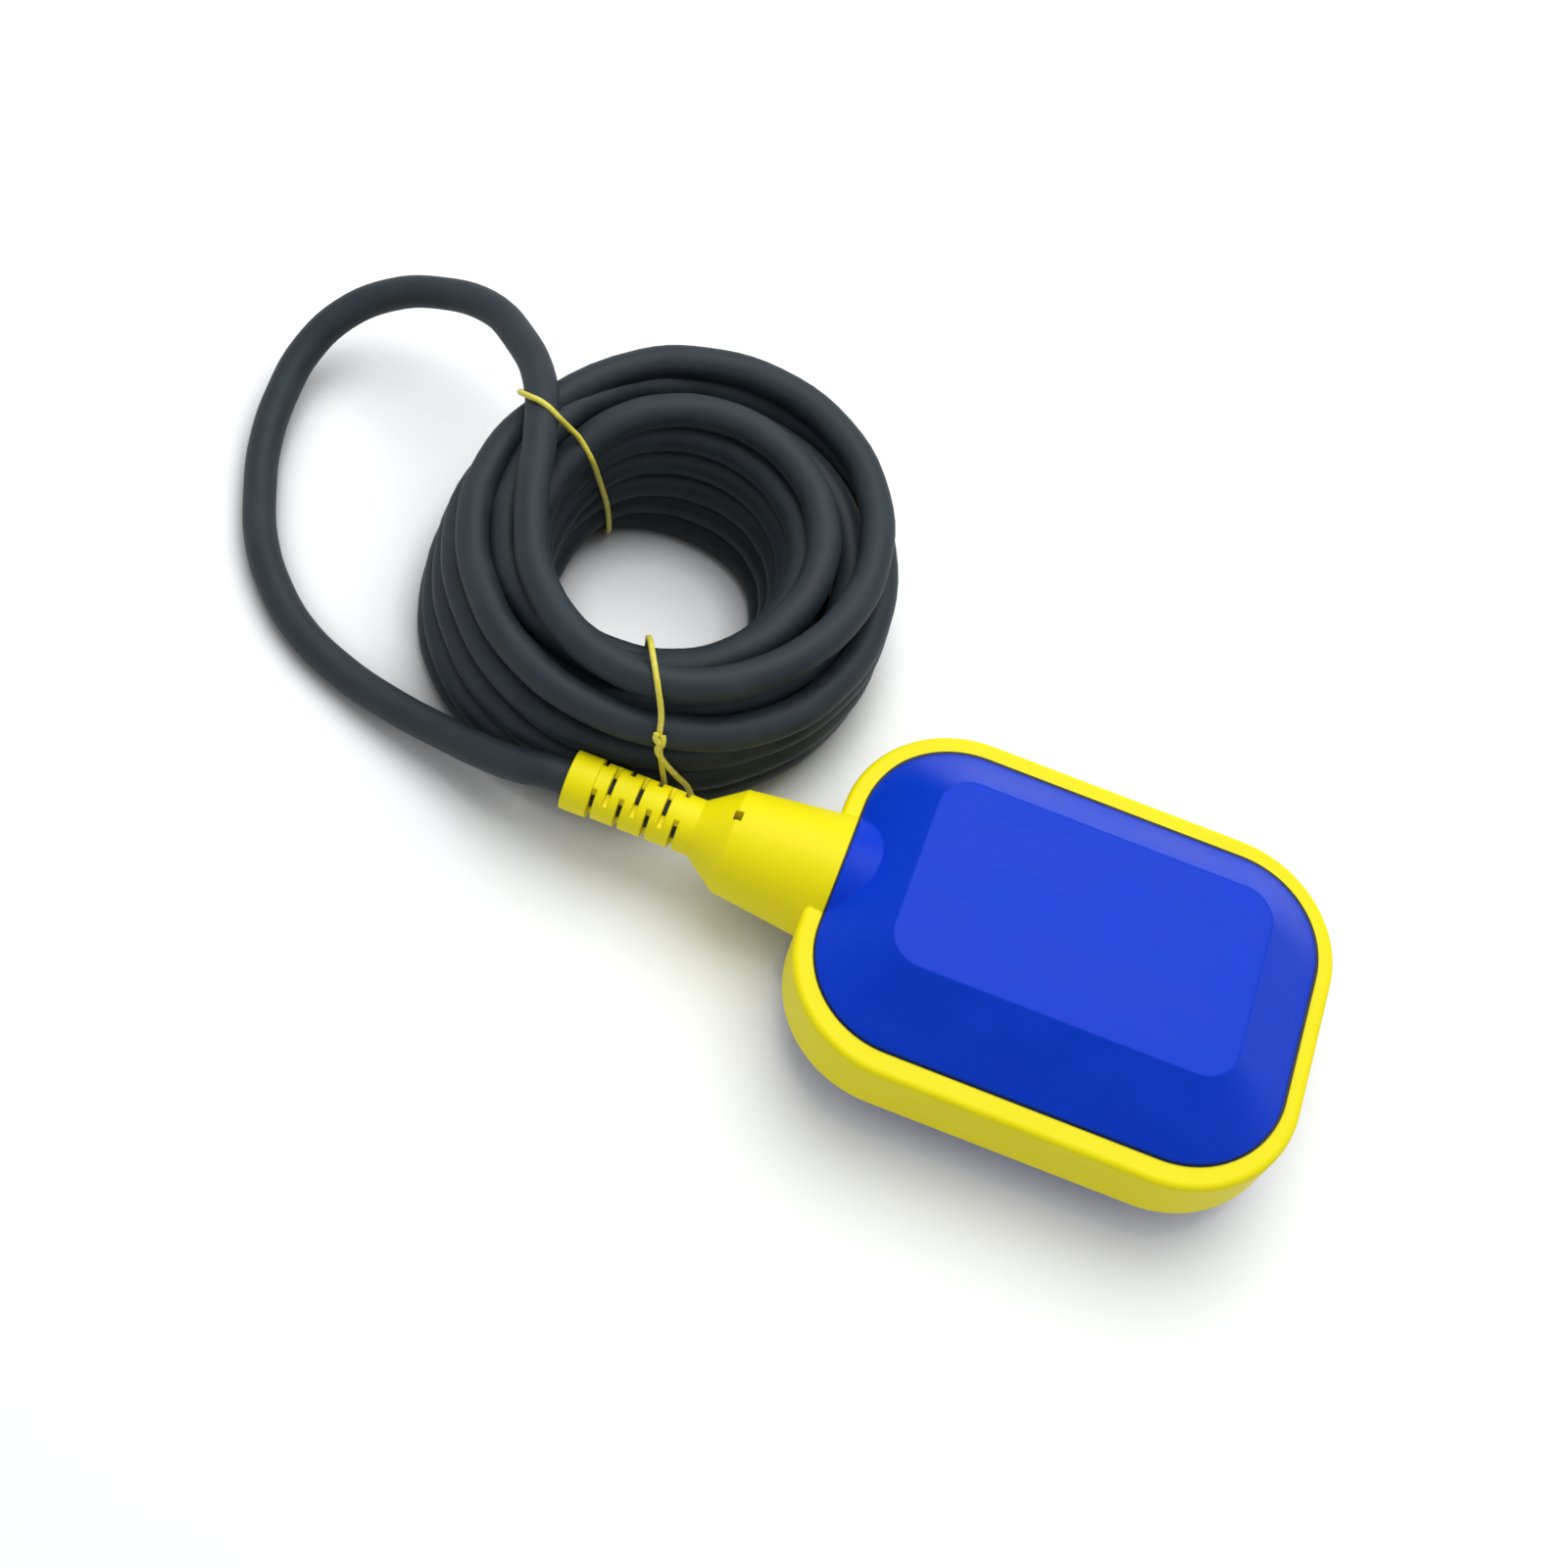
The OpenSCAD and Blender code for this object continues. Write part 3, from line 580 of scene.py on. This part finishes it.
@dataclass
class FreeCable:
    """The cable outside the float: a loop over the floor, a hand-wound coil and a short tail. Millimetres."""

    diameter: float = 7.4
    middle: tuple[float, float] = (-80.5, 57.0)
    top_middle: tuple[float, float] = (-77.2, 59.1)
    lead: tuple[Point, ...] = (
        (-79.55, 0, 20),
        (-84, 0, 19.8),
        (-90.3, -0.1, 18),
        (-97.5, 1.3, 15),
        (-110, 5, 10),
        (-122.6, 8.6, 6.5),
        (-136, 13.1, 4.3),
        (-148.4, 19, 3.75),
        (-158.3, 27, 3.75),
        (-166.6, 37.2, 3.75),
        (-172.6, 49, 3.75),
        (-177, 61, 4.5),
        (-179, 73.7, 6.5),
        (-178.2, 85.5, 10),
        (-173.2, 94.8, 15),
        (-164, 100.6, 20.5),
        (-152.5, 101.6, 26),
        (-139.5, 98.3, 31.5),
        (-128.6, 89.3, 36.2),
        (-119.3, 77.5, 40),
    )
    top_turn: tuple[Point, ...] = (
        (176, 35.7, 41.6),
        (192, 33.7, 41.1),
        (210, 34, 40.5),
        (231, 36.8, 40),
        (254, 40.2, 39.8),
        (267, 41.9, 39.8),
        (280, 42.8, 39.8),
        (293, 42.6, 39.8),
        (307, 41.6, 39.8),
        (325, 40.4, 39.8),
        (346, 39.8, 39.8),
        (367, 39.5, 39.8),
        (392, 39.8, 39.8),
        (418, 40.4, 39.8),
        (444, 40.9, 39.6),
        (466, 41.2, 38.9),
        (485, 42, 37.2),
    )
    tail: tuple[Point, ...] = (
        (-50.01, 99.15, 3.75),
        (-54.87, 102.69, 3.75),
        (-61.2, 106.34, 3.75),
        (-68.16, 108.6, 3.75),
        (-75.44, 109.4, 3.75),
        (-82, 109.4, 3.75),
    )
    # One row a turn: its radius and height at 180, 225, 270, 315, 0, 45, 90 and 135 degrees.
    turns: tuple[tuple[tuple[float, float], ...], ...] = (
        ((41, 33.4), (42.5, 33), (46.8, 33), (48.2, 29.4), (46.8, 28.6), (44.8, 30.8), (41.5, 33.2), (38.4, 32.8)),
        ((34.1, 33.6), (35.5, 33.2), (35.6, 32.6), (34.0, 36), (32.5, 39.4), (30.6, 39.9), (28.7, 39.9), (27.6, 37.4)),
        ((28.6, 29.4), (30.4, 26.6), (29.5, 26.4), (30.2, 29.2), (29.2, 32.6), (27.8, 32.8), (27.0, 32.7), (27.2, 30.6)),
        ((28.2, 22.9), (26.8, 20), (25.4, 19.2), (27.6, 22.2), (27.7, 25.4), (26.7, 25.6), (26.1, 25.5), (26.6, 23.6)),
        ((27.0, 16.5), (29, 13.6), (29.3, 13.2), (28.2, 15), (27, 18), (26, 18.3), (25.3, 18.2), (26, 16.8)),
        ((28.0, 10.2), (24.8, 8), (24.6, 8), (25.2, 8.6), (25.6, 10.6), (25.6, 10.9), (25.3, 10.8), (26.6, 9.8)),
        ((26.3, 4.3), (29.4, 3.75), (30, 3.75), (29.8, 3.75), (24.6, 3.75), (25, 3.75), (25, 3.75), (28.2, 3.75)),
        ((33.6, 3.75), (36.7, 3.75), (37.3, 3.75), (37, 3.75), (34.4, 3.75), (33.6, 3.75), (33.7, 4), (34.8, 6.6)),
        ((34.2, 11), (35, 11.2), (36, 11.1), (35.6, 11.1), (34.6, 11.1), (34.2, 11.1), (34.3, 11.6), (34.8, 14.8)),
        ((36.2, 21.6), (38.8, 27), (41, 28), (40.9, 30), (40, 31.6), (37.4, 33), (34.4, 32.2), (36.6, 26.6)),
        ((43.3, 26), (44.9, 25.6), (47.4, 22.6), (47.4, 22.2), (47, 21.8), (45.4, 23.6), (43.8, 24.2), (43.9, 21.8)),
        ((45.3, 18.6), (46.9, 17.8), (49.3, 15.4), (47.8, 15.4), (46.8, 15), (45.5, 16.4), (44.8, 15.8), (45, 13.4)),
        ((46.6, 11.1), (49.2, 10.5), (50.3, 9.2), (47.2, 9), (45.8, 8.6), (45, 9), (45.4, 6.6), (46.3, 4.2)),
        ((47.6, 3.75), (49.6, 3.75), (46.4, 3.75), (43.8, 3.75), (45.6, 3.75)),
    )

    def spot(self, middle: tuple[float, float], angle: float, radius: float, height: float) -> Vector:
        """Gives a point of the coil by its angle, radius and height."""
        turn = math.radians(angle)
        return Vector((middle[0] + radius * math.cos(turn), middle[1] + radius * math.sin(turn), height))

    def keys(self) -> list[tuple[float, float, float]]:
        """Lists angle, radius and height of the wound turns, every 45 degrees."""
        flat = [pair for row in self.turns for pair in row]
        return [(180.0 + 45 * i, radius, height) for i, (radius, height) in enumerate(flat)]

    def wound(self) -> list[Vector]:
        """Gives the points of the wound turns, 16 a turn."""
        keys = self.keys()
        points = []
        for i, (angle, radius, height) in enumerate(keys):
            points.append(self.spot(self.middle, angle, radius, height))
            if i == len(keys) - 1:
                break
            around = [keys[max(0, min(len(keys) - 1, i + k))] for k in (-1, 0, 1, 2)]
            half = [(9 * (b + c) - a - d) / 16 for a, b, c, d in zip(*(key[1:] for key in around))]
            points.append(self.spot(self.middle, angle + 22.5, *half))
        return points

    def route(self) -> list[Vector]:
        """Gives the whole centreline, in metres."""
        points = [Vector(p) for p in self.lead]
        points += [self.spot(self.top_middle, *key) for key in self.top_turn]
        points.append(self.spot(self.middle, 157, 40.4, 34.2))
        points += self.wound()
        points.append(self.spot(self.middle, 22.5, 47.6, 3.75))
        points.append(self.spot(self.middle, 40, 50.4, 3.75))
        points += [Vector(p) for p in self.tail]
        return [p * MM for p in points]

    def build(self) -> bpy.types.Object:
        """Makes the cable as one open curve."""
        points = self.route()
        data = bpy.data.curves.new("free_cable", "CURVE")
        data.dimensions, data.resolution_u = "3D", 5
        data.bevel_depth, data.bevel_resolution, data.use_fill_caps = self.diameter * MM / 2, 6, True
        spline = data.splines.new("BEZIER")
        spline.bezier_points.add(len(points) - 1)
        for knot, point in zip(spline.bezier_points, points):
            knot.co = point
            knot.handle_left_type = knot.handle_right_type = "AUTO"
        made = bpy.data.objects.new("free_cable", data)
        bpy.context.collection.objects.link(made)
        return settle(made, JACKET, "cable_lead", "cable_coil", "cable_tail")

    def length(self) -> float:
        """Gives the length of the centreline, in metres."""
        line = curve_through(self.route(), 6)
        return sum((b - a).length for a, b in zip(line, line[1:]))


@dataclass
class WireTie:
    """A coated wire bound round the coil, given by angle, radius and height about the coil. Millimetres."""

    name: str
    node: str
    cable: FreeCable
    loop: tuple[Point, ...]
    ends: tuple[tuple[Point, ...], ...] = ()
    wire: float = 1.3

    def _line(self, spots: Sequence[Point], closed: bool) -> list[Vector]:
        """Gives a smooth centreline through spots of the coil, in metres."""
        points = [self.cable.spot(self.cable.middle, *spot) * MM for spot in spots]
        if not closed:
            return curve_through(points, 8)
        line = curve_through([points[-1], *points, points[0], points[1]], 8)
        return line[8:-9]

    def build(self) -> list[bpy.types.Object]:
        """Makes the loop and its twisted ends."""
        bent = lambda share: self.wire / 2 * MM
        made = [tube(self.name, self._line(self.loop, True), bent, 12, True)]
        for index, end in enumerate(self.ends, 1):
            made.append(tube(f"{self.name}_end{index}", self._line(end, False), bent, 12, False))
        settle(made[0], TIE_WIRE, self.node)
        return made[:1] + [settle(end, TIE_WIRE) for end in made[1:]]


BACK_LOOP: tuple[Point, ...] = (
    (163, 39.4, 45),
    (162.7, 37, 45.5),
    (162.2, 34.4, 45),
    (161.6, 32, 43.6),
    (159.4, 30, 41),
    (157, 27.6, 38.2),
    (156, 24, 34),
    (151.7, 22.9, 27),
    (145.5, 22, 17.2),
    (140.5, 22.6, 7),
    (137.4, 25.4, 1.3),
    (140, 31, 0.8),
    (143, 39, 0.8),
    (145, 47.5, 0.9),
    (146, 51, 5),
    (147, 50.6, 14),
    (149, 49, 23),
    (152, 47, 31),
    (157, 45.3, 37.4),
    (161, 43, 42),
)
FRONT_LOOP: tuple[Point, ...] = (
    (281, 23.6, 22),
    (281, 26, 31),
    (281, 31, 38.8),
    (282, 34.4, 43),
    (283.6, 38.9, 44.7),
    (286, 44.6, 43),
    (287.8, 48.2, 38),
    (288, 51.3, 33.3),
    (289.5, 52.4, 26),
    (291.2, 53, 17),
    (291.6, 53.6, 9),
    (290.6, 51.6, 2.6),
    (288, 46, 0.8),
    (284, 36, 0.8),
    (282, 26, 2.2),
    (281, 20.6, 9),
)
FRONT_ENDS: tuple[tuple[Point, ...], ...] = (
    ((287.2, 51.6, 36.4), (287.1, 52.2, 35.4), (288.2, 52.6, 34.2), (288.9, 51.9, 33), (288.3, 52.2, 31.8)),
    ((288.6, 51.5, 35.6), (288.8, 52.4, 34.6), (287.8, 52.8, 32.8), (288.6, 52.8, 30), (290.6, 52.6, 26), (293.6, 52.4, 21),
     (296.4, 52.6, 17), (298, 53.2, 12.6)),
)


@dataclass
class BareCores:
    """The three stripped cores at the cable's free end, with their copper. Millimetres."""

    tip: Point = (-82, 109.4, 3.75)
    core_d: float = 2.2
    copper_d: float = 1.35
    strip: float = 30.0
    bare: float = 6.5

    def _line(self, index: int) -> list[Vector]:
        """Gives one core's centreline, in millimetres."""
        turn = math.radians((90, 210, 330)[index])
        y, z = 1.6 * math.cos(turn), 1.6 * math.sin(turn)
        tip, far = Vector(self.tip), self.strip
        points = [(0, y, z), (-0.08 * far, y, z), (-0.3 * far, 1.4 * y, z), (-0.65 * far, 2.5 * y, 0.8 * z), (-far, 4 * y, 0.6 * z)]
        return curve_through([tip + Vector(p) for p in points], 8)

    def build(self) -> list[bpy.types.Object]:
        """Makes the cores and their copper ends."""
        made = []
        for index, (shade, finish) in enumerate(zip(("brown", "blue", "black"), (BROWN_CORE, BLUE_CORE, BLACK_CORE))):
            line = self._line(index)
            cut = next(i for i, p in enumerate(line) if self.tip[0] - p.x > self.strip - self.bare)
            sleeve = tube(f"end_sleeve_{shade}", [p * MM for p in line[: cut + 1]], lambda share: self.core_d / 2 * MM, 16, False)
            made.append(settle(sleeve, finish, f"end_core_{shade}"))
            strands = self._strands(f"end_copper_{shade}", line[cut - 1 :])
            made.append(settle(strands, COPPER))
        return made

    def _strands(self, name: str, line: Sequence[Vector]) -> bpy.types.Object:
        """Makes one core's twisted copper strands as a single mesh.

        Args:
            name: Name of the object.
            line: Centreline, in millimetres.

        Returns:
            The new object.
        """
        points, faces = [], []
        strand = self.copper_d / 5.6
        smooth = curve_through(line, 4)
        for k in range(7):
            base = len(points)
            for i, spot in enumerate(smooth):
                turn = 0.22 * i + k * math.pi / 3
                off = 0.0 if k == 6 else self.copper_d / 2 - strand
                heart = spot + Vector((0, off * math.cos(turn), off * math.sin(turn)))
                for c in range(6):
                    corner = c * math.pi / 3
                    points.append((heart + strand * Vector((0, math.cos(corner), math.sin(corner)))) * MM)
            for i in range(len(smooth) - 1):
                for c in range(6):
                    a, b = base + i * 6 + c, base + i * 6 + (c + 1) % 6
                    faces.append((a, a + 6, b + 6, b))
            last = base + (len(smooth) - 1) * 6
            faces.append(tuple(last + c for c in range(6)))
        mesh = bpy.data.meshes.new(name)
        mesh.from_pydata(points, [], faces)
        mesh.polygons.foreach_set("use_smooth", [True] * len(faces))
        made = bpy.data.objects.new(name, mesh)
        bpy.context.collection.objects.link(made)
        return made


@dataclass
class SealLipAndPaintedShade:
    """The edge of a cover's seal, standing up into the gap between rim and cover as a dark strip of painted shade,
    thicker and taller towards the back. Millimetres.
    """

    name: str
    side: int
    middle: Point = (27.05, 0.0, 20.0)
    length: float = 96.9
    width: float = 70.0
    corner: float = 20.475
    wall: float = 0.38
    foot: float = 5.92
    low_crown: float = 7.45
    rise: float = 0.82
    shade_spill: float = 0.25
    arch: float = 14.0
    widened_toward: tuple[float, float] = (0.35, 0.94)

    def _corner(self, index: int, steps: int = 24) -> list[tuple[float, float, float]]:
        """Gives one corner's points about the middle, each with its outward angle.

        Args:
            index: Which corner, 0 to 3, counted anticlockwise.
            steps: Steps round the corner.

        Returns:
            x, y and the angle in radians.
        """
        across, along = self.length / 2 - self.corner, self.width / 2 - self.corner
        x, y = ((across, along), (-across, along), (-across, -along), (across, -along))[index]
        angles = [math.radians(90 * index + 90 * i / steps) for i in range(steps + 1)]
        return [(x + self.corner * math.cos(a), y + self.corner * math.sin(a), a) for a in angles]

    def _outline(self, steps: int = 60) -> list[tuple[float, float, float]]:
        """Gives the whole outline, close set at the end where it climbs over the neck."""
        reach = self.width / 2 - self.corner
        end = [(-self.length / 2, reach * (1 - 2 * i / steps), math.pi) for i in range(1, steps)]
        return self._corner(0) + self._corner(1) + end + self._corner(2) + self._corner(3)

    def _shade_widening(self, angle: float) -> float:
        """Gives how much thicker and taller the painted shade strip is at an outward angle, 0 to 1, most towards the
        back.
        """
        toward = math.cos(angle) * self.widened_toward[0] + math.sin(angle) * self.widened_toward[1]
        return min(1.0, max(0.0, (toward + 0.5) / 0.8))

    def _crown(self, x: float, y: float, shade_widening: float) -> float:
        """Gives the lip's height above the float's middle, which follows the neck's root at that end."""
        crown = self.low_crown + self.rise * shade_widening
        if x > 0 or abs(y) >= self.arch:
            return crown
        return max(crown, math.sqrt(self.arch**2 - y**2))

    def build(self) -> bpy.types.Object:
        """Makes the lip as one thin closed wall."""
        points, faces = [], []
        middle = Vector(self.middle)
        for x, y, angle in self._outline():
            # Painted shade: the dark wall grows thicker and taller towards the back, so the gap's shade shows there as
            # a dark line.
            shade_widening = self._shade_widening(angle)
            for reach in (-self.wall / 2, self.wall / 2 + self.shade_spill * shade_widening):
                for height in (self.foot, self._crown(x, y, shade_widening)):
                    spot = Vector((x + reach * math.cos(angle), y + reach * math.sin(angle), self.side * height))
                    points.append((middle + spot) * MM)
        count = len(points) // 4
        for i in range(count):
            here, there = 4 * i, 4 * ((i + 1) % count)
            for a, b in ((0, 1), (1, 3), (3, 2), (2, 0)):
                face = (here + a, here + b, there + b, there + a)
                faces.append(face if self.side > 0 else face[::-1])
        mesh = bpy.data.meshes.new(self.name)
        mesh.from_pydata(points, [], faces)
        made = bpy.data.objects.new(self.name, mesh)
        bpy.context.collection.objects.link(made)
        return settle(made, SEAL)


def dress_nodes() -> None:
    """Gives every carried CAD node its finish."""
    for name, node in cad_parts.items():
        material = NODE_FINISH[name].material()
        node.data.materials.clear()
        node.data.materials.append(material)
        LOG.info("node %s in %s", name, material.name)


def main() -> None:
    """Builds the scene in order: camera, cable, ties and cores, finishes, studio."""
    logging.basicConfig(level=logging.INFO, format="%(message)s")
    Viewpoint().set_up()
    cable = FreeCable()
    lead = cable.build()
    ties = WireTie("tie_back", "wire_tie_back", cable, BACK_LOOP).build()
    ties += WireTie("tie_front", "wire_tie_front", cable, FRONT_LOOP, FRONT_ENDS).build()
    cores = BareCores().build()
    # Dark strips in the gaps between rim and covers: partly the seals' edges, partly painted shade.
    SealLipAndPaintedShade("upper_seal_lip_and_shade", 1).build()
    SealLipAndPaintedShade("lower_seal_lip_and_shade", -1).build()
    length = cable.length()
    LOG.info("cable length %.3f m", length)
    dress_nodes()
    studio = Studio()
    studio.floor()
    studio.light()
    bpy.context.scene.view_settings.view_transform = "Standard"


if __name__ == "__main__":
    main()
